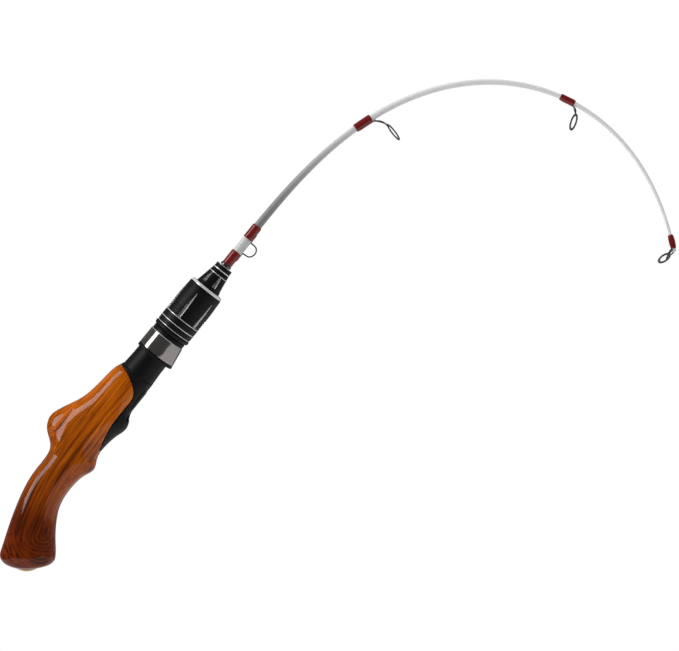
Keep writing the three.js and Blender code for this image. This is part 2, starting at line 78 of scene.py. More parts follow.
def skin(rings, closed=False):
    """Points and faces of a skin through equal rings. closed joins the last ring to the first."""
    rings = np.asarray(rings, float)
    count, sides = rings.shape[:2]
    faces = []
    for i in range(count if closed else count - 1):
        j = (i + 1) % count
        for k in range(sides):
            m = (k + 1) % sides
            faces.append((i * sides + k, i * sides + m, j * sides + m, j * sides + k))
    if not closed:
        faces.append(tuple(range(sides)))
        faces.append(tuple(range((count - 1) * sides, count * sides)))
    return rings.reshape(-1, 3), faces


def around(sides):
    """Evenly spaced angles of a full turn."""
    return np.arange(sides) * 2 * math.pi / sides


def turned(name, outline, bore=0):
    """A part turned about the seat axis from (station, radius) points, with a straight bore."""
    profile = outline + [(outline[-1][0], bore), (outline[0][0], bore)]
    if bore == 0:
        profile = [(outline[0][0], 0.01)] + outline + [(outline[-1][0], 0.01)]
    angles = around(TURNED_SIDES)
    rings = [
        np.stack([np.full(TURNED_SIDES, x), r * np.cos(angles), r * np.sin(angles)], axis=1)
        for x, r in profile
    ]
    return rod_mesh(name, *skin(rings, closed=bore > 0))


def spline(points, per_span):
    """A smooth curve through points: a natural cubic spline in even steps of the point number."""
    p = np.asarray(points, float)
    n = len(p)
    system = np.eye(n)
    right = np.zeros_like(p)
    for i in range(1, n - 1):
        system[i, i - 1:i + 2] = (1, 4, 1)
        right[i] = 6 * (p[i - 1] - 2 * p[i] + p[i + 1])
    curve = np.linalg.solve(system, right)
    out = []
    for i in range(n - 1):
        for t in np.arange(per_span) / per_span:
            a, b = 1 - t, t
            out.append(a * p[i] + b * p[i + 1] + ((a**3 - a) * curve[i] + (b**3 - b) * curve[i + 1]) / 6)
    out.append(p[-1])
    return np.array(out)


def sweep(line, radii, sides):
    """Rings of a round section carried along a line without twist."""
    ahead = np.gradient(line, axis=0)
    ahead /= np.linalg.norm(ahead, axis=1)[:, None]
    side = np.cross(ahead[0], (0.3, 0.9, 0.2))
    angles = around(sides)
    rings = []
    for point, way, radius in zip(line, ahead, radii):
        side = side - way * side.dot(way)
        side /= np.linalg.norm(side)
        up = np.cross(way, side)
        rings.append(point + radius * (np.outer(np.cos(angles), side) + np.outer(np.sin(angles), up)))
    return rings


def wire(name, points, per_span=8):
    """A round wire through points, with slightly rounded ends."""
    line = spline(points, per_span)
    radii = np.full(len(line), WIRE_RADIUS)
    radii[0] = radii[-1] = WIRE_RADIUS * 0.75
    return rod_mesh(name, *skin(sweep(line, radii, WIRE_SIDES)))


def slab(name, outline, half_width):
    """A block with a given outline seen from the side, as wide on both sides of the rod's plane."""
    rings = [[(x, y, z) for x, z in outline] for y in (-half_width, half_width)]
    return rod_mesh(name, *skin(rings))


def rod_points(made):
    """The vertices of a row-frame mesh, in the rod's frame."""
    back = np.array(ROD_TO_ROW.inverted())
    points = np.array([v.co for v in made.data.vertices])
    return points @ back[:3, :3].T + back[:3, 3]


def set_rod_points(made, points):
    there = np.array(ROD_TO_ROW)
    moved = points @ there[:3, :3].T + there[:3, 3]
    made.data.vertices.foreach_set("co", moved.astype(np.float32).ravel())
    made.data.update()


def smooth_step(value):
    value = np.clip(value, 0, 1)
    return value * value * (3 - 2 * value)


def radius_on(taper, x):
    """The radius at a station, from a list of (station, radius) points."""
    stations, radii = zip(*taper)
    return float(np.interp(x, stations, radii))


def apply_modifiers(made):
    graph = bpy.context.evaluated_depsgraph_get()
    final = bpy.data.meshes.new_from_object(made.evaluated_get(graph))
    made.modifiers.clear()
    made.data = final


def combine(target, tool, operation):
    """Boolean of two closed meshes. The tool is used up, and its materials go with its faces."""
    step = target.modifiers.new(operation, "BOOLEAN")
    step.object = tool
    step.operation = operation
    step.solver = "EXACT"
    step.material_mode = "TRANSFER"
    apply_modifiers(target)
    bpy.data.objects.remove(tool)


def soften(made, voxel, rounds):
    """Remeshes at a voxel size in millimetres and rounds every edge slightly."""
    remesh = made.modifiers.new("remesh", "REMESH")
    remesh.mode = "VOXEL"
    remesh.voxel_size = voxel * MM
    smooth = made.modifiers.new("smooth", "SMOOTH")
    smooth.factor = 0.5
    smooth.iterations = rounds
    apply_modifiers(made)


def join(first, *others):
    with bpy.context.temp_override(active_object=first, selected_editable_objects=[first, *others]):
        bpy.ops.object.join()
    return first


def set_material(made, material):
    made.data.materials.clear()
    made.data.materials.append(material)


def finish_piece(made, body, material=None, nodes=(), sharp=35):
    """Shading, material, body and the CAD nodes that the piece stands for."""
    if material:
        set_material(made, material)
    made.data.shade_smooth()
    if sharp:
        made.data.set_sharp_from_angle(angle=math.radians(sharp))
    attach(made, body)
    if nodes:
        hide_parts(*nodes)


# ---------- materials ----------

def linear(red, green, blue):
    """A display colour, 0 to 255, as linear light."""
    def one(value):
        value /= 255
        return value / 12.92 if value <= 0.04045 else ((value + 0.055) / 1.055) ** 2.4
    return (one(red), one(green), one(blue), 1)


class Look:
    """A procedural material in the making: its nodes, and links between them."""

    def __init__(self, name, **sockets):
        self.material = bpy.data.materials.new(name)
        self.material.use_nodes = True
        self.tree = self.material.node_tree
        self.shader = self.tree.nodes["Principled BSDF"]
        self.set(**sockets)

    def set(self, **sockets):
        for socket, value in sockets.items():
            self.shader.inputs[socket.replace("_", " ")].default_value = value

    def node(self, kind, inputs=(), **settings):
        made = self.tree.nodes.new("ShaderNode" + kind)
        for key, value in settings.items():
            setattr(made, key, value)
        for key, value in dict(inputs).items():
            if isinstance(value, bpy.types.NodeSocket):
                self.tree.links.new(value, made.inputs[key])
            else:
                made.inputs[key].default_value = value
        return made

    def place(self, scale=(1, 1, 1), attribute=None):
        """Coordinates in the row frame in metres, or a stored attribute, times a scale."""
        if attribute:
            source = self.node("Attribute", attribute_name=attribute).outputs["Vector"]
        else:
            source = self.node("TexCoord").outputs["Object"]
        return self.node("VectorMath", {0: source, 1: scale}, operation="MULTIPLY").outputs["Vector"]

    def stored(self, attribute):
        """A stored number."""
        return self.node("Attribute", attribute_name=attribute).outputs["Fac"]

    def noise(self, where, scale=1, detail=3, roughness=0.5, distortion=0):
        made = self.node("TexNoise", {
            "Vector": where, "Scale": scale, "Detail": detail,
            "Roughness": roughness, "Distortion": distortion,
        })
        return made.outputs["Fac"]

    def ramp(self, value, *stops):
        made = self.node("ValToRGB", {"Fac": value})
        row = made.color_ramp.elements
        while len(row) < len(stops):
            row.new(1)
        for element, (place, colour) in zip(row, stops):
            element.position = place
            element.color = colour
        return made.outputs["Color"]

    def mix(self, share, a, b, how="MIX"):
        """Two colours mixed. Sockets 0, 6 and 7 of the node are its share and its two colours."""
        return self.node("Mix", {0: share, 6: a, 7: b}, data_type="RGBA", blend_type=how).outputs[2]

    def part_way(self, value, start, end):
        """How far a value has come from start to end, 0 to 1."""
        return self.node("MapRange", {"Value": value, "From Min": start, "From Max": end}).outputs["Result"]

    def span(self, value, low, high):
        """A 0 to 1 value mapped to low to high."""
        return self.node("MapRange", {"Value": value, "To Min": low, "To Max": high}).outputs["Result"]

    def bump(self, height, strength, distance):
        made = self.node("Bump", {"Height": height, "Strength": strength, "Distance": distance})
        self.tree.links.new(made.outputs["Normal"], self.shader.inputs["Normal"])

    def to(self, socket, value):
        self.tree.links.new(value, self.shader.inputs[socket])


def grey(value):
    return (value, value, value, 1)


def wood_look():
    """Straight-grained wood, orange in front and redder and darker in the grip, under thick lacquer."""
    look = Look("lacquered_wood", Roughness=0.5, Specular_IOR_Level=0)
    look.set(Coat_Weight=1, Coat_Roughness=0.03, Coat_IOR=1.38)
    streaks = look.noise(look.place((0.02, 0.35, 0.62), "grain"), detail=6, roughness=0.62, distortion=0.25)
    fibres = look.noise(look.place((0.06, 1.4, 3.2), "grain"), detail=4, roughness=0.6)
    dark_lines = look.noise(look.place((0.014, 0.2, 0.5), "grain"), detail=3, distortion=0.5)
    clouds = look.noise(look.place((0.03, 0.06, 0.09), "grain"), detail=2)
    body = look.ramp(
        streaks,
        (0.28, linear(126, 50, 1)),
        (0.45, linear(182, 85, 2)),
        (0.6, linear(212, 108, 3)),
        (0.78, linear(232, 130, 6)),
    )
    body = look.mix(0.8, body, look.ramp(fibres, (0.3, grey(0.55)), (0.6, grey(1.05))), "MULTIPLY")
    body = look.mix(1, body, look.ramp(clouds, (0.3, grey(0.72)), (0.65, grey(1.1))), "MULTIPLY")
    along = look.node("SeparateXYZ", {0: look.place(attribute="grain")}).outputs["X"]
    grip_share = look.part_way(along, 56, 128)
    toned = look.mix(1, body, look.mix(grip_share, grey(1), (0.32, 0.2, 0.3, 1)), "MULTIPLY")
    line_share = look.span(look.part_way(along, 20, 110), 0.35, 0.9)
    lines = look.ramp(dark_lines, (0.36, grey(0.22)), (0.47, grey(1)))
    look.to("Base Color", look.mix(line_share, toned, look.mix(1, toned, lines, "MULTIPLY")))
    return look.material


def soft_black_look():
    look = Look("soft_touch_black")
    grain = look.noise(look.place(), scale=2600, detail=2)
    cloud = look.noise(look.place(), scale=60, detail=3)
    look.set(Specular_IOR_Level=0.22)
    look.to("Base Color", look.mix(cloud, linear(6, 6, 7), linear(10, 10, 11)))
    look.to("Roughness", look.span(cloud, 0.42, 0.52))
    look.bump(grain, 0.12, 0.00004)
    return look.material


def anodised_look():
    look = Look("black_anodised", Specular_IOR_Level=0.24)
    cloud = look.noise(look.place(), scale=90, detail=4)
    look.to("Base Color", look.mix(cloud, linear(5, 5, 6), linear(12, 12, 13)))
    look.to("Roughness", look.span(cloud, 0.42, 0.5))
    look.bump(look.noise(look.place(), scale=3000), 0.05, 0.00002)
    return look.material


def metal_look(name, low, high, roughness, scale=900, metallic=1):
    """A polished or brushed metal whose tone and gloss vary a little."""
    look = Look(name, Metallic=metallic)
    lines = look.noise(look.place(), scale=scale, detail=3)
    cloud = look.noise(look.place(), scale=120, detail=3)
    look.to("Base Color", look.mix(lines, linear(*low), linear(*high)))
    look.to("Roughness", look.span(cloud, *roughness))
    look.bump(lines, 0.06, 0.00002)
    return look.material


def knurled_look():
    look = Look("bright_knurled_cut", Metallic=0.4, Roughness=0.4)
    tread = look.node("TexVoronoi", {"Vector": look.place(), "Scale": 1100}).outputs["Distance"]
    look.to("Base Color", look.ramp(tread, (0.2, grey(0.42)), (0.6, grey(0.1))))
    look.bump(tread, 0.6, 0.0001)
    return look.material


def blank_look():
    """Translucent glass with painted shade: coloured grey near the grip to stand in for shade there, and
    white along the bend.
    """
    look = Look("white_glass", Roughness=0.35, Coat_Weight=0.4, Coat_Roughness=0.1)
    look.set(Sheen_Weight=1, Sheen_Roughness=0.3)
    fibres = look.noise(look.place(), scale=90, detail=2)
    # Painted shade: the stored fade runs from 0 near the grip, where the glass is painted grey as shade, to 1
    # along the bend, where it is white.
    tone = look.mix(look.stored("painted_shade_fade"), grey(0.22), grey(0.95))
    strands = look.ramp(fibres, (0.3, grey(0.6)), (0.7, grey(1)))
    look.to("Base Color", look.mix(0.12, tone, strands, "MULTIPLY"))
    return look.material


def thread_look():
    look = Look("red_thread_under_epoxy", Roughness=0.5, Specular_IOR_Level=0.1)
    look.set(Coat_Weight=1, Coat_Roughness=0.04, Coat_IOR=1.5)
    turns = look.noise(look.place(), scale=700, detail=3)
    reds = (0.25, linear(98, 4, 3)), (0.5, linear(122, 8, 6)), (0.8, linear(144, 16, 12))
    look.to("Base Color", look.ramp(turns, *reds))
    return look.material


def epoxy_look():
    look = Look("clear_epoxy", Roughness=0.08, IOR=1.5, Alpha=0.9)
    cloud = look.noise(look.place(), scale=120)
    look.to("Base Color", look.mix(cloud, linear(214, 214, 214), linear(228, 228, 228)))
    return look.material


def ceramic_look():
    look = Look("ring_ceramic", Roughness=0.12)
    cloud = look.noise(look.place(), scale=500)
    look.to("Base Color", look.mix(cloud, linear(62, 62, 64), linear(88, 88, 90)))
    return look.material


WOOD = wood_look()
SOFT_BLACK = soft_black_look()
ANODISED = anodised_look()
DARK_CHROME = metal_look("dark_chrome", (156, 151, 149), (168, 163, 161), (0.08, 0.12))
BRIGHT = metal_look("bright_cut_metal", (240, 240, 240), (252, 252, 252), (0.22, 0.3), metallic=0.4)
BRASS = metal_look("satin_brass", (176, 132, 58), (204, 160, 82), (0.26, 0.34), scale=1500)
STEEL = metal_look("guide_wire_steel", (92, 92, 94), (118, 118, 120), (0.16, 0.24))
KNURLED = knurled_look()
WHITE_GLASS = blank_look()
THREAD = thread_look()
EPOXY = epoxy_look()
CERAMIC = ceramic_look()


# ---------- handle ----------

# From the butt to the seat tube: top point, belly point, half width, narrowing of the upper half.
HANDLE_SECTIONS = [
    ((-62.4, -22), (-59.6, -25.8), 2.4, 0),
    ((-64.8, -15.5), (-53.4, -30.9), 9.2, 0),
    ((-66, -9.4), (-48.6, -34.3), 12.2, 0),
    ((-64, -4.6), (-44.4, -34.8), 13.4, 0),
    ((-58.5, -2.1), (-39.2, -31.5), 13.8, 0),
    ((-44.5, 3.3), (-31.8, -25.2), 13.4, 0),
    ((-28.2, 8.7), (-21.8, -18.4), 12.8, 0.05),
    ((-10.5, 12.5), (-9.9, -13.9), 12.4, 0.08),
    ((5, 13), (5.3, -13.5), 12.6, 0.1),
    ((14.6, 15.8), (14.4, -15.9), 13, 0.2),
    ((20.4, 23.4), (20.2, -17.1), 13.3, 0.32),
    ((27.6, 27.8), (27, -14.1), 13.5, 0.34),
    ((35.4, 26.8), (35.4, -13.4), 13.6, 0.26),
    ((46, 22), (46, -15), 13.6, 0.18),
    ((54.6, 18.6), (54.6, -16.9), 13.5, 0.12),
    ((62.5, 17.1), (62.5, -13.8), 13.4, 0.1),
    ((71, 16.1), (71, -12.4), 13.3, 0.08),
    ((80.4, 15.1), (80.4, -12.1), 13.1, 0.02),
    ((88, 12.4), (88, -12.1), 12.5, 0),
]
SQUARENESS = 2.35
HANDLE_SPANS = 10
HANDLE_SIDES = 112
SPIGOT_RADIUS = 10.2
TUBE_RADIUS = 12.1
SEAT_BORE = 7


def handle_curves():
    """Top line, belly line, and half width with narrowing, in even steps."""
    tops = spline([top for top, _, _, _ in HANDLE_SECTIONS], HANDLE_SPANS)
    bellies = spline([belly for _, belly, _, _ in HANDLE_SECTIONS], HANDLE_SPANS)
    widths = spline([(half, pinch) for _, _, half, pinch in HANDLE_SECTIONS], HANDLE_SPANS)
    return tops, bellies, widths


def handle_form(name, trim):
    """The whole handle's outer form, its sides brought in by trim."""
    angles = around(HANDLE_SIDES)
    power = 2 / SQUARENESS
    across = np.sign(np.cos(angles)) * np.abs(np.cos(angles)) ** power
    up = np.sign(np.sin(angles)) * np.abs(np.sin(angles)) ** power
    rings = []
    for top, belly, (half, pinch) in zip(*handle_curves()):
        middle, rise = (top + belly) / 2, (top - belly) / 2
        x = middle[0] + rise[0] * up
        z = middle[1] + rise[1] * up
        y = across * (1 - pinch * np.maximum(0, up) ** 2) * max(1, half - trim)
        rings.append(np.stack([x, y, z], axis=1))
    return rod_mesh(name, *skin(rings))


def seat_zone(name, shift):
    """A slab that holds everything in front of and below the wood's curved edge."""
    edge = [
        (31, -13.2), (37.6, -11.5), (45.9, -9.8), (55, -8.9), (66, -8.7), (73, -8.6),
        (78.2, -6.5), (82.2, -1.8), (85, 3.4), (86.3, 8), (86.9, 12.4),
    ]
    moved = spline(edge, 6) + (-shift, shift)
    outline = [(110, -40), (26, -40), (26 - shift, -14.7 + shift), *moved, (88 - shift, 40), (110, 40)]
    return slab(name, outline, 30)


LIP_CORNER = (27.4, 23)  # centre of the round rear corner of the thumb rest, seen from the side
LIP_RADIUS = 4.7
LIP_DEPTH = 1.5
LIP_EDGE = 0.8  # how far outside the corner the cut reaches its full depth
LIP_REACH = 8  # how far outside the corner the cut has mostly run out
LIP_FRONT = (28, 48)  # the stations between which the carving fades out
REST_NARROWING = 0.27
REST_EDGE = 2.4  # how far inside the corner the narrowing is full
SPINE = 6  # the half width near the rod's plane over which the cut fades in


def carve_thumb_lip(made):
    """Narrows the thumb rest and cuts the sides in under it, so that it ends in a crisp lip."""
    points = rod_points(made)
    x, y, z = points.T
    behind = np.maximum(0, LIP_CORNER[0] - x)
    under = np.maximum(0, LIP_CORNER[1] - z)
    below = np.hypot(behind, under) - LIP_RADIUS
    start, end = LIP_FRONT
    front_fade = 1 - smooth_step((x - start) / (end - start))
    rest = 1 - REST_NARROWING * smooth_step(-below / REST_EDGE) * front_fade
    run_out = np.exp(-(np.maximum(below, 0) / LIP_REACH) ** 2)
    depth = LIP_DEPTH * smooth_step(below / LIP_EDGE) * run_out * front_fade
    points[:, 1] = y * rest - np.sign(y) * depth * smooth_step(np.abs(y) / SPINE)
    set_rod_points(made, points)


GRAIN_LINE = [(95, 0), (60, 0.5), (25, 0), (0, -2), (-25, -8), (-50, -17), (-75, -29)]
SWIRL = (-36, -12)  # where the grain starts to turn round, near the butt
SWIRL_OFFSET = -9  # towards the belly


def store_grain(made):
    """Stores the run of the grain: distance along it, distance across it, and its layer.

    The layers lie side by side along the grip and turn round at the swirl.
    """
    points = rod_points(made)
    flat = points[:, [0, 2]]
    line = spline(GRAIN_LINE, 24)
    way = np.gradient(line, axis=0)
    way /= np.linalg.norm(way, axis=1)[:, None]
    length = np.concatenate([[0], np.cumsum(np.linalg.norm(np.diff(line, axis=0), axis=1))])
    nearest = np.linalg.norm(flat[:, None] - line[None], axis=2).argmin(axis=1)
    gap = flat - line[nearest]
    along = length[nearest] + (gap * way[nearest]).sum(axis=1)
    out = gap[:, 0] * way[nearest, 1] - gap[:, 1] * way[nearest, 0]
    behind = np.maximum(0, along - length[np.linalg.norm(line - SWIRL, axis=1).argmin()])
    off = out - SWIRL_OFFSET
    layer = np.hypot(off, 1.1 * behind)
    field = np.stack([along, points[:, 1] + 0.5 * off, layer], axis=1)
    store = made.data.attributes.new("grain", "FLOAT_VECTOR", "POINT")
    store.data.foreach_set("vector", field.astype(np.float32).ravel())


def make_grip():
    """The wood: the handle's form behind the seat, bored for the spigot."""
    grip = handle_form("grip_wood", 0)
    combine(grip, seat_zone("zone", 0.2), "DIFFERENCE")
    combine(grip, turned("bore", [(19.7, SPIGOT_RADIUS + 0.3), (95, SPIGOT_RADIUS + 0.3)]), "DIFFERENCE")
    soften(grip, FINE_VOXEL, 5)
    carve_thumb_lip(grip)
    store_grain(grip)
    finish_piece(grip, "handle", WOOD, ["wood_grip"], sharp=None)


def make_seat():
    """The black body: the handle's form in front of the wood, its spigot, and the tube for hood and nut."""
    seat = handle_form("seat_black", 0.8)
    combine(seat, turned("tube", [(76, TUBE_RADIUS), (86.5, TUBE_RADIUS)]), "UNION")
    combine(seat, seat_zone("zone", 0), "INTERSECT")
    front = [
        (20, SPIGOT_RADIUS), (86.6, SPIGOT_RADIUS), (86.8, TUBE_RADIUS), (90, 11.95), (94, 11.7),
        (98, 11.5), (106.8, 11.4), (106.9, 10.6), (143.6, 10.6), (144, 10.2),
    ]
    combine(seat, turned("front", front), "UNION")
    pad = [(65, -12.15), (80, -12.15), (88, -10.6), (88, -9), (65, -9)]
    combine(seat, slab("pad", pad, 6), "UNION")
    pocket = [(50, -14.6), (71, -14.6), (71, -12.25), (50, -12.25)]
    combine(seat, slab("pocket", pocket, 5.2), "DIFFERENCE")
    combine(seat, turned("bore", [(19, SEAT_BORE), (145, SEAT_BORE)]), "DIFFERENCE")
    soften(seat, FINE_VOXEL, 3)
    finish_piece(seat, "handle", SOFT_BLACK, ["seat_body"], sharp=None)


BUTT_CENTRE = Vector((-60.4, 0, -24.3))
BUTT_AXIS = Vector((-0.8, 0, -0.6))
DISC_RADIUS = 7.1
DISC_CROWN = 1.5
DISC_DROP = 2.3  # from the crown to the rim


def make_medallion():
    """A shallow brass cap, turned about X and then set into the butt."""
    dome = (7, 6.5, 6, 5, 4, 3, 2, 1, 0.4)
    outline = [(-1.2, 6.9), (-0.9, 7.05)]
    outline += [(DISC_CROWN - DISC_DROP * (r / DISC_RADIUS) ** 2, r) for r in dome]
    disc = turned("medallion", outline)
    points = rod_points(disc)
    turn = Vector((1, 0, 0)).rotation_difference(BUTT_AXIS).to_matrix()
    set_rod_points(disc, points @ np.array(turn).T + np.array(BUTT_CENTRE))
    finish_piece(disc, "handle", BRASS, ["butt_medallion"], sharp=50)


# ---------- hood ----------

HOOD_BACK = 106.4
HOOD_FRONT = 119.1
HOOD_FLARE = 1.9  # how much further the belly side stands out at the mouth
HOOD_WALL = 0.75
LIP_WALL = 0.45


def hood_ring(x, radius, flare):
    """A round ring that stands further out towards the belly."""
    angles = around(TURNED_SIDES)
    out = radius + flare * np.maximum(0, -np.sin(angles)) ** 2
    return np.stack([np.full(TURNED_SIDES, x), out * np.cos(angles), out * np.sin(angles)], axis=1)


def hood_form(name, outline, wall, front):
    """A hood shell: an outside of (station, radius) points that flares at the mouth, and an inside."""
    def flare(x):
        return HOOD_FLARE * (HOOD_FRONT - x) / (HOOD_FRONT - HOOD_BACK)

    outside = [hood_ring(x, r, flare(x)) for x, r in outline]
    back = outline[0][0]
    ends = (front, outline[-1][1] - wall), (back, outline[0][1] - wall + 0.1)
    inside = [hood_ring(x, r, flare(x)) for x, r in ends]
    return rod_mesh(name, *skin(outside + inside, closed=True))


def make_hood():
    shell = [
        (HOOD_BACK, 12.6), (106.5, 12.75), (106.8, 12.8), (110, 12.77),
        (115, 12.72), (118.6, 12.65), (118.95, 12.6), (HOOD_FRONT, 12.45),
    ]
    chrome = hood_form("hood_chrome", shell, HOOD_WALL, 117.6)
    finish_piece(chrome, "hood", DARK_CHROME, ["hood_shell"])
    lip = [(104, 12.2), (104.1, 12.6), (104.5, 12.85), (105.8, 12.85), (106.2, 12.7), (106.35, 12.5)]
    mouth_lip = hood_form("hood_mouth_lip", lip, LIP_WALL, 106.3)
    finish_piece(mouth_lip, "hood", SOFT_BLACK, ["hood_lip"])
    collar = [(119, 11.9), (119.2, 12.15), (119.5, 12.2), (121.9, 12.2), (122.3, 12)]
    finish_piece(turned("hood_swivel", collar, 10.9), "hood", ANODISED, ["hood_collar"])
    # Partly real, partly painted highlight: a rim at the hood's mouth, in near-white bright metal that stands
    # in for the highlight its chrome chamfer catches.
    edge = [(118.9, 12.45), (119, 12.66), (119.2, 12.66), (119.3, 12.3)]
    finish_piece(turned("hood_edge_painted_highlight", edge, 12), "hood", BRIGHT)


# ---------- lock nut and cone ----------

FLUTES = 6
NUT_BORE = 8.8
NUT_RADIUS = 13.1
NUT_GROOVES = (130.25, 135.3)
NUT_RIDGES = (137.7, 139.5, 141.4, 143.1)
NUT_TAPER = [
    (144, NUT_RADIUS), (147.4, 13.08), (150, 13), (153, 12.85),
    (156, 12.68), (159.6, 12.48), (160.1, 12.35), (160.25, 12.1),
]
CONE_BORE = 3.6
CONE_TAPER = [(162.1, 9), (176.9, 6.2)]
# The flutes of the nut and the notches of the cone: station, half width, depth, half width of the floor.
NUT_FLUTE = [(136, 1.55, 0.9, 0.4), (147.5, 0.85, 0.6, 0.15), (155.4, 0.14, 0.14, 0.03)]
CONE_NOTCH = [(164.8, 1.7, 0.7, 1), (172.9, 0.6, 0.45, 0.3)]


def wedge(name, stations, taper, angle):
    """A cutter for one tapering flute in a surface of a given taper.

    Its rear end and its wall on the belly side are clean bright cuts, the rest of it is knurled.
    """
    rings = []
    for x, half, depth, floor in stations:
        radius = radius_on(taper, x)
        slope = (half - floor) / depth
        rings.append([
            (x, -floor, radius - depth),
            (x, floor, radius - depth),
            (x, half + slope, radius + 1),
            (x, -half - slope, radius + 1),
        ])
    cutter = rod_mesh(name, *skin(rings))
    cutter.data.materials.append(KNURLED)
    cutter.data.materials.append(BRIGHT)
    for face in cutter.data.polygons:
        middle = ROD_TO_ROW.inverted() @ face.center
        face.material_index = 1 if middle.y < -0.1 or middle.x < stations[0][0] + 0.01 else 0
    turn = np.array(Matrix.Rotation(angle, 3, "X"))
    set_rod_points(cutter, rod_points(cutter) @ turn.T)
    return cutter


def line_ring(name, x, radius, width=0.6):
    """A narrow bright-cut line around a black part."""
    low, high = radius - 0.15, radius + 0.06
    outline = [
        (x - 0.5 * width, low), (x - 0.3 * width, high),
        (x + 0.3 * width, high), (x + 0.5 * width, low),
    ]
    finish_piece(turned(name, outline, radius - 0.6), "nut", BRIGHT)


def flute_angle(first, number):
    """The turn about the axis that brings a flute cut at +Z to its place around the nut."""
    return math.radians(90 + first) + 2 * math.pi * number / FLUTES


def make_nut():
    bead = [
        (122.5, 11.8), (122.7, 12.5), (123.1, 13.05), (123.7, 13.35),
        (124.4, 13.45), (125.1, 13.3), (125.6, 12.95), (125.85, 12.4),
    ]
    finish_piece(turned("bead", bead, 11.1), "nut", ANODISED, ["nut_bead"])
    outline = [(126, 12.4), (126.15, 12.75), (126.45, 13.05)]
    for groove in NUT_GROOVES:
        outline += [(groove - 0.45, NUT_RADIUS), (groove - 0.2, 12.85)]
        outline += [(groove + 0.2, 12.85), (groove + 0.45, NUT_RADIUS)]
    for ridge in NUT_RIDGES:
        outline += [(ridge - 0.95, 13.05), (ridge - 0.8, 12.7), (ridge - 0.35, 12.7), (ridge - 0.2, 13.05)]
        outline.append((ridge, NUT_RADIUS))
    barrel = turned("barrel", outline + NUT_TAPER, NUT_BORE)
    barrel.data.materials.append(ANODISED)
    for number in range(FLUTES):
        combine(barrel, wedge("flute", NUT_FLUTE, NUT_TAPER, flute_angle(-7.7, number)), "DIFFERENCE")
    finish_piece(barrel, "nut", nodes=["nut_barrel"])
    for number, (x, radius) in enumerate([(126.1, 12.75)] + [(groove, 13) for groove in NUT_GROOVES]):
        line_ring(f"nut_line_{number + 1}", x, radius)
    ring = [(160.3, 11.95), (160.4, 12.1), (161.4, 12.1), (161.65, 12), (162, 11.65), (162.1, 11.4)]
    finish_piece(turned("face_ring", ring, NUT_BORE), "nut", BRIGHT, ["nut_face_ring"])


def make_cone():
    slope = [(x, radius_on(CONE_TAPER, x)) for x in (162.2, 165, 168, 171, 174, 176.6)]
    cone = turned("cone", [(162, 8.7), *slope, (176.9, 6)], CONE_BORE)
    cone.data.materials.append(ANODISED)
    for number in range(FLUTES):
        combine(cone, wedge("notch", CONE_NOTCH, CONE_TAPER, flute_angle(-34, number)), "DIFFERENCE")
    finish_piece(cone, "nut", nodes=["fore_cone"])
    line_ring("cone_line", 173.3, radius_on(CONE_TAPER, 173.3) + 0.02, 0.5)
    line_ring("cone_front_line", 176.8, 6.3, 0.8)
    collar = [
        (177, 5.8), (177.25, 6.2), (177.9, 6.25), (178.1, 5.95), (178.5, 5.95), (178.7, 6.25),
        (179.3, 6.25), (179.5, 5.95), (179.7, 5.95), (179.85, 6.15), (180.1, 6.1),
    ]
    finish_piece(turned("nose_collar", collar, CONE_BORE), "nut", ANODISED, ["cone_collar"])
    line_ring("nose_line", 180.1, 6, 0.55)


# ---------- blank ----------

BEND_START = 217.1
BEND_LENGTH = 369
BEND_TURN = (0.45, 2.32, 1.56, -2.09)
BLANK_BACK = 26
BLANK_TIP = 370.3
BLANK_TAPER = ((-191.1, 3.1), (-34, 3.1), (10, 2.65), (69, 2.2), (200, 1.85), (257, 1.45), (369, 1))
BEND_STEP = 0.25
BLANK_SIDES = 48
WIRE_GAP = 0.05


def bend_angle(distance):
    """How far the blank has turned from the seat axis, in radians, at a distance along the bend."""
    t = np.clip(np.asarray(distance, float) / BEND_LENGTH, 0, 1)
    return -sum(factor * t ** (i + 1) for i, factor in enumerate(BEND_TURN))


def bend_table():
    """Distances along the bend, and the centre line's points at them."""
    distances = np.arange(0, BEND_LENGTH + 20, BEND_STEP)
    middle = bend_angle(distances[:-1] + BEND_STEP / 2)
    x = BEND_START + np.concatenate([[0], np.cumsum(np.cos(middle) * BEND_STEP)])
    z = np.concatenate([[0], np.cumsum(np.sin(middle) * BEND_STEP)])
    return distances, x, z


BEND = bend_table()


def on_blank(distance, out=0.0, across=0.0):
    """A point near the blank: how far along the bend, out towards the belly, and across."""
    distances, xs, zs = BEND
    x = np.interp(distance, distances, xs) + min(0, distance)
    z = np.interp(distance, distances, zs)
    angle = float(bend_angle(distance))
    return np.array([x + out * math.sin(angle), across, z - out * math.cos(angle)])


def blank_radius(distance):
    return radius_on(BLANK_TAPER, distance)


def along_blank(name, distances, radius_at, sides=BLANK_SIDES):
    """A skin around the blank. radius_at gives the radius at a distance and an angle from the belly."""
    rings = []
    for distance in distances:
        ring = []
        for angle in around(sides):
            radius = radius_at(distance, angle)
            ring.append(on_blank(distance, radius * math.cos(angle), radius * math.sin(angle)))
        rings.append(ring)
    return rod_mesh(name, *skin(rings))


def make_blank():
    """The rod's blank: straight inside the seat, then bent, with the fade of its painted shade stored on it.
    """
    straight = np.linspace(BLANK_BACK - BEND_START, 0, 60)
    bent = np.linspace(0, BLANK_TIP, 420)[1:]
    places = np.concatenate([straight, bent])
    blank = along_blank("rod_blank", places, lambda distance, _: blank_radius(distance))
    store = blank.data.attributes.new("painted_shade_fade", "FLOAT", "POINT")
    # Painted shade: 0 near the grip, where the glass is coloured grey as shade, rising to 1 along the bend.
    painted_shade_fade = np.repeat(smooth_step((places + 20) / 170), BLANK_SIDES)
    store.data.foreach_set("value", painted_shade_fade.astype(np.float32))
    finish_piece(blank, "handle", WHITE_GLASS, ["blank"], sharp=60)


FOOT_SWELL = 0.35  # how much a foot lifts the thread over it
FOOT_SWELL_ANGLE = 0.35


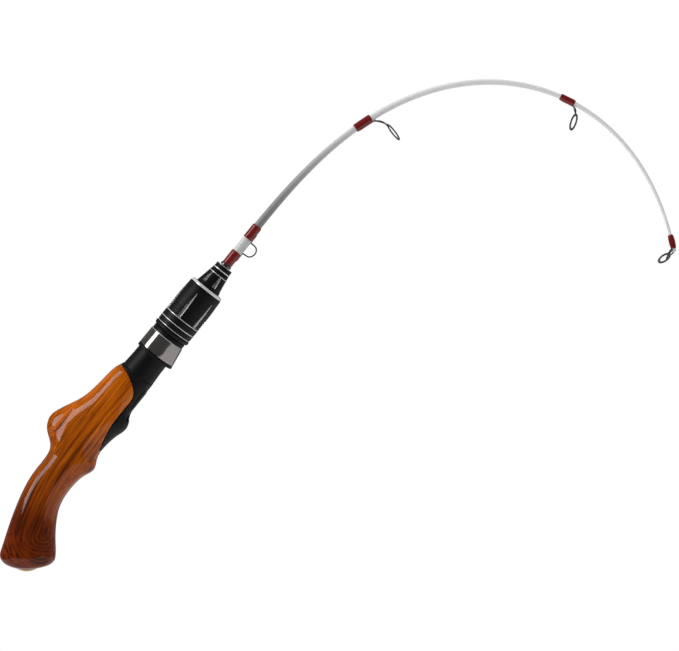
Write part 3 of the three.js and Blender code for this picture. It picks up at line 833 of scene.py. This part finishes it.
def make_wrap(name, node, start, end, radius, foot=None, spindle=0.0):
    """A thread wrap under a clear coat, thicker over a wire foot that lies under it."""
    def surface(distance, angle):
        from_end = min(distance - start, end - distance)
        edge = math.sqrt(min(1, max(0.02, from_end / 0.5)))
        bare = blank_radius(distance) + 0.04
        swell = spindle * math.sin(math.pi * (distance - start) / (end - start))
        over_foot = 0
        if foot and foot[0] < distance < foot[1]:
            turn = min(angle, 2 * math.pi - angle)
            fade = min(1, (distance - foot[0]) / 1.5, (foot[1] - distance) / 1.5)
            over_foot = FOOT_SWELL * fade * math.exp(-(turn / FOOT_SWELL_ANGLE) ** 2)
        return bare + edge * (radius - bare + swell + over_foot)

    ends = np.array([0, 0.05, 0.15, 0.3, 0.5])
    places = np.concatenate([start + ends, np.linspace(start + 0.8, end - 0.8, 22), end - ends[::-1]])
    wrap = along_blank(name, places, surface, 64)
    finish_piece(wrap, "handle", THREAD, [node], sharp=50)


def on_axis(x):
    """A station on the seat axis as a distance along the bend."""
    return x - BEND_START


def foot_height(distance):
    """How far from the blank's centre a wire lies that rests on its belly."""
    return blank_radius(distance) + WIRE_GAP + WIRE_RADIUS


def foot_point(distance):
    return on_blank(distance, foot_height(distance))


def make_base():
    """The foot of the blank: trim ring, two wraps, the clear sleeve between them and the hook keeper."""
    trim = [(180.6, 3.5), (180.7, 3.9), (181.4, 3.95), (182.1, 3.9), (182.5, 3.5)]
    finish_piece(turned("foot_ring", trim, 3.12), "handle", STEEL, ["foot_trim"])
    lower_foot, upper_foot = (on_axis(187.5), on_axis(193.6)), (on_axis(204), on_axis(210.5))
    make_wrap("lower_wrap", "keeper_wrap_lower", on_axis(182.4), on_axis(193.2), 3.5, lower_foot)
    make_wrap("upper_wrap", "keeper_wrap_upper", on_axis(204.4), on_axis(215.3), 3.4, upper_foot)

    def epoxy_radius(distance, angle):
        turn = min(angle, 2 * math.pi - angle)
        return blank_radius(distance) + 0.12 + 0.6 * math.exp(-(turn / 0.5) ** 2)

    sleeve = along_blank("keeper_epoxy", np.linspace(on_axis(192.8), on_axis(204.8), 40), epoxy_radius)
    finish_piece(sleeve, "handle", EPOXY)
    feet = [foot_point(on_axis(x)) for x in (188, 190.5, 193.2)]
    loop = [
        (194.7, -4), (195, -6), (195.7, -8.6), (198.4, -10.2),
        (201.2, -10), (203.1, -8.4), (203.6, -6.1), (203.7, -4),
    ]
    ends = [foot_point(on_axis(x)) for x in (205.2, 207.8, 210)]
    keeper = wire("keeper_wire", [*feet, *[(x, 0, z) for x, z in loop], *ends])
    finish_piece(keeper, "handle", STEEL, ["hook_keeper"], sharp=60)


# ---------- guides ----------

# Ring centre (distance along the bend, height), mean radius, tilt, turn, foot, wrap and its radius.
GUIDES = {
    "guide_1": dict(
        centre=(112.1, 15.8), radius=6.3, tilt=7.3, turn=17,
        foot=(93, 103), wrap=(90.9, 103.6), wrap_radius=2.85,
    ),
    "guide_2": dict(
        centre=(253.1, 11.1), radius=5.4, tilt=9, turn=26,
        foot=(238.5, 247), wrap=(236.5, 247.1), wrap_radius=2.2,
    ),
}
TIP_TOP = dict(centre=(373.5, 7.5), radius=4.45, tilt=15, turn=33)
RING_SECTION = 0.4
HOOP_STEPS = 96
HOOP_SIDES = 20


def hoop_frame(guide):
    """The middle of a hoop, and the directions out from the blank, across and through the ring."""
    distance, out = guide["centre"]
    angle = float(bend_angle(distance))
    ahead = np.array([math.cos(angle), 0, math.sin(angle)])
    down = np.array([math.sin(angle), 0, -math.cos(angle)])
    lean, yaw = math.radians(guide["tilt"]), math.radians(guide["turn"])
    outward = math.cos(lean) * down + math.sin(lean) * ahead
    straight = math.cos(lean) * ahead - math.sin(lean) * down
    across = math.cos(yaw) * np.array([0, 1, 0]) + math.sin(yaw) * straight
    return on_blank(distance, out), outward, across, np.cross(outward, across)


def on_hoop(guide, angle, radius=None):
    """A point of the hoop, counted from its end nearest the blank."""
    middle, outward, across, _ = hoop_frame(guide)
    radius = radius or guide["radius"]
    return middle - radius * math.cos(angle) * outward + radius * math.sin(angle) * across


def hoop(name, guide, radius, section):
    """A closed ring of round section in a guide's plane."""
    _, outward, across, through = hoop_frame(guide)
    rings = []
    for angle in around(HOOP_STEPS):
        centre = on_hoop(guide, angle, radius)
        away = -math.cos(angle) * outward + math.sin(angle) * across
        rings.append([
            centre + section * (math.cos(a) * away + math.sin(a) * through)
            for a in around(HOOP_SIDES)
        ])
    return rod_mesh(name, *skin(rings, closed=True))


def ring_piece(name, guide, node):
    inner = guide["radius"] - WIRE_RADIUS - RING_SECTION
    finish_piece(hoop(name, guide, inner, RING_SECTION), "handle", CERAMIC, [node], sharp=None)


def guide_arm(name, guide, side):
    """One wire of a guide's leg, from its foot to the side of the hoop."""
    start, end = guide["foot"]
    height = foot_height(end)
    lift = guide["centre"][1] - guide["radius"] - height
    points = [
        foot_point(start),
        foot_point((start + end) / 2),
        foot_point(end),
        on_blank(end + 0.36 * lift, height + 0.12 * lift, side * 0.6),
        on_blank(end + 0.83 * lift, height + 0.52 * lift, side * 1.6),
        on_hoop(guide, side * 0.6),
    ]
    return wire(name, points, per_span=10)


def make_boot(name, guide):
    """The clear epoxy that runs out of a wrap and fills the corner between the wire and the blank."""
    end = guide["foot"][1]
    height = foot_height(end)
    lift = guide["centre"][1] - guide["radius"] - height
    rings = []
    for share in np.linspace(0, 1, 14):
        place = end - 0.4 + 0.45 * lift * share
        high = height + 0.2 * lift * share**1.5
        low = blank_radius(place) - 0.5
        middle, rise = (high + low) / 2, (high - low) / 2
        half = 0.9 - 0.5 * share
        rings.append([on_blank(place, middle + rise * math.cos(a), half * math.sin(a)) for a in around(24)])
    finish_piece(rod_mesh(name, *skin(rings)), "handle", EPOXY, sharp=60)


def make_guides():
    for name, guide in GUIDES.items():
        frame_wire = join(
            hoop(name + "_wire", guide, guide["radius"], WIRE_RADIUS),
            guide_arm(name + "_left", guide, -1),
            guide_arm(name + "_right", guide, 1),
        )
        finish_piece(frame_wire, "handle", STEEL, [name + "_frame"], sharp=None)
        ring_piece(name + "_insert", guide, name + "_ring")
        (start, end), (first, last) = guide["wrap"], guide["foot"]
        make_boot(name + "_epoxy", guide)
        make_wrap(name + "_thread", name + "_wrap", start, end, guide["wrap_radius"], (first - 1, last + 1.5))


def make_tip_top():
    """The tip guide: a tube over the blank's end, a hoop with its ring, and the thread wrap behind it."""
    def tube_radius(distance, _):
        return 1.4 * math.sqrt(max(0.02, 1 - max(0, distance - 370) ** 2))

    tube = along_blank("tip_tube", np.linspace(360, 371, 30), tube_radius)
    parts = [hoop("tip_hoop", TIP_TOP, TIP_TOP["radius"], WIRE_RADIUS)]
    for side in (-1, 1):
        root, spread = on_blank(368.5, 1.3, side * 0.5), on_blank(370.6, 3.2, side * 1.8)
        parts.append(wire("tip_arm", [root, spread, on_hoop(TIP_TOP, side * 1.35)]))
    link = [on_blank(370.8, 0.6), on_blank(371.6, 1.6), on_hoop(TIP_TOP, 0)]
    parts.append(wire("tip_link", link))
    frame_wire = join(*parts)
    finish_piece(frame_wire, "handle", STEEL, ["tip_top_frame"], sharp=None)
    finish_piece(tube, "handle", BRIGHT, sharp=60)
    ring_piece("tip_top_insert", TIP_TOP, "tip_top_ring")
    make_wrap("tip_thread", "tip_wrap", 359.1, 368.7, 1.7, spindle=0.4)


# ---------- hidden pieces ----------

def dress_hidden_nodes():
    """The inner pieces keep their CAD meshes and get their own materials."""
    cork = Look("arbor_cork", Roughness=0.9)
    cells = cork.node("TexVoronoi", {"Vector": cork.place(), "Scale": 900}).outputs["Distance"]
    cork.to("Base Color", cork.ramp(cells, (0, linear(120, 84, 50)), (0.6, linear(196, 160, 112))))
    cork.bump(cells, 0.4, 0.0002)
    for node in ("arbor_rear", "arbor_middle", "arbor_front"):
        set_material(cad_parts[node], cork.material)
    set_material(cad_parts["nut_thread_insert"], BRASS)


# ---------- stage ----------

def make_camera():
    camera = bpy.data.objects.new("camera", bpy.data.cameras.new("camera"))
    bpy.context.scene.collection.objects.link(camera)
    field = math.radians(30)
    view_width = 0.4549
    camera.data.sensor_fit = "HORIZONTAL"
    camera.data.angle = field
    camera.data.clip_start = 0.01
    camera.location = (0.1903, -view_width / 2 / math.tan(field / 2), 0.1008)
    camera.rotation_euler = (math.radians(90), 0, 0)
    bpy.context.scene.camera = camera


SEAT_AXIS = Vector((math.cos(HOLD_ANGLE), 0, math.sin(HOLD_ANGLE)))
SUBJECT = Vector((0.08, 0, 0.08))
LIGHT_DISTANCE = 1.2


def softbox(name, degrees, lean, size, radiance):
    """A panel seen at an angle about the seat axis, 0 at the camera and 90 above the rod's back."""
    angle = math.radians(degrees)
    back = Vector((-math.sin(HOLD_ANGLE), 0, math.cos(HOLD_ANGLE)))
    away = (back * math.sin(angle) + Vector((0, -1, 0)) * math.cos(angle) + SEAT_AXIS * lean).normalized()
    light = bpy.data.lights.new(name, "AREA")
    light.shape = "RECTANGLE"
    light.size, light.size_y = size
    light.energy = radiance * math.pi * light.size * light.size_y
    made = bpy.data.objects.new(name, light)
    bpy.context.scene.collection.objects.link(made)
    side = away.cross(SEAT_AXIS).normalized()
    turn = Matrix((side, away.cross(side), away)).transposed()
    made.matrix_world = Matrix.Translation(SUBJECT + away * LIGHT_DISTANCE) @ turn.to_4x4()
    made.visible_camera = False


def make_floor():
    """A plain pale floor well under the held rod."""
    mesh = bpy.data.meshes.new("floor")
    half = 1.1
    corners = (-half, -half, 0), (half, -half, 0), (half, half, 0), (-half, half, 0)
    mesh.from_pydata(corners, [], [(0, 1, 2, 3)])
    floor = bpy.data.objects.new("floor", mesh)
    bpy.context.scene.collection.objects.link(floor)
    floor.location = (0.2, 0, -0.5)
    look = Look("pale_floor", Roughness=0.8)
    cloud = look.noise(look.place(), scale=3)
    look.to("Base Color", look.mix(cloud, grey(0.6), grey(0.64)))
    mesh.materials.append(look.material)


def make_world():
    """White to the eye, bright and even as light, and dim in reflections."""
    world = bpy.data.worlds.new("studio")
    bpy.context.scene.world = world
    world.use_nodes = True
    tree = world.node_tree
    tree.nodes.clear()

    def node(kind, **settings):
        made = tree.nodes.new("ShaderNode" + kind)
        for key, value in settings.items():
            setattr(made, key, value)
        return made

    generated = node("TexCoord").outputs["Generated"]
    direction = node("SeparateXYZ")
    tree.links.new(generated, direction.inputs[0])

    def sky(front, behind, below, above):
        """Background light that changes from front to back and from below to above."""
        strength = node("Math", operation="MULTIPLY")
        for index, (axis, low, high) in enumerate((("Y", front, behind), ("Z", below, above))):
            gradient = node("MapRange")
            gradient.inputs["From Min"].default_value = -1
            gradient.inputs["To Min"].default_value = low
            gradient.inputs["To Max"].default_value = high
            tree.links.new(direction.outputs[axis], gradient.inputs["Value"])
            tree.links.new(gradient.outputs["Result"], strength.inputs[index])
        return strength.outputs[0]

    def glow(base, towards, strength):
        """Adds a wide soft glow in one direction to a light strength."""
        facing = node("VectorMath", operation="DOT_PRODUCT")
        facing.inputs[1].default_value = towards
        tree.links.new(generated, facing.inputs[0])
        rise = node("MapRange", interpolation_type="SMOOTHSTEP")
        rise.inputs["To Max"].default_value = strength
        tree.links.new(facing.outputs["Value"], rise.inputs["Value"])
        total = node("Math", operation="ADD")
        tree.links.new(base, total.inputs[0])
        tree.links.new(rise.outputs["Result"], total.inputs[1])
        return total.outputs[0]

    def background(strength):
        made = node("Background")
        tree.links.new(strength, made.inputs["Strength"])
        return made.outputs[0]

    def choose(share, a, b):
        made = node("MixShader")
        tree.links.new(share, made.inputs[0])
        tree.links.new(a, made.inputs[1])
        tree.links.new(b, made.inputs[2])
        return made.outputs[0]

    path = node("LightPath")
    diffuse = background(sky(front=0.4, behind=1.7, below=0.15, above=1.5))
    dim = sky(front=0.14, behind=0.22, below=0.6, above=1.2)
    mirrored = background(glow(dim, towards=(0.765, 0.17, -0.62), strength=0.12))
    lit = choose(path.outputs["Is Glossy Ray"], diffuse, mirrored)
    seen = node("Background")
    seen.inputs["Color"].default_value = (1, 1, 1, 1)
    final = choose(path.outputs["Is Camera Ray"], lit, seen.outputs[0])
    tree.links.new(final, node("OutputWorld").inputs["Surface"])


def make_stage():
    make_camera()
    make_floor()
    make_world()
    softbox("key_box", degrees=64, lean=-0.2, size=(0.48, 0.86), radiance=5)
    bpy.context.scene.view_settings.view_transform = "Standard"


make_stage()
make_grip()
make_seat()
make_medallion()
make_hood()
make_nut()
make_cone()
make_blank()
make_base()
make_guides()
make_tip_top()
dress_hidden_nodes()
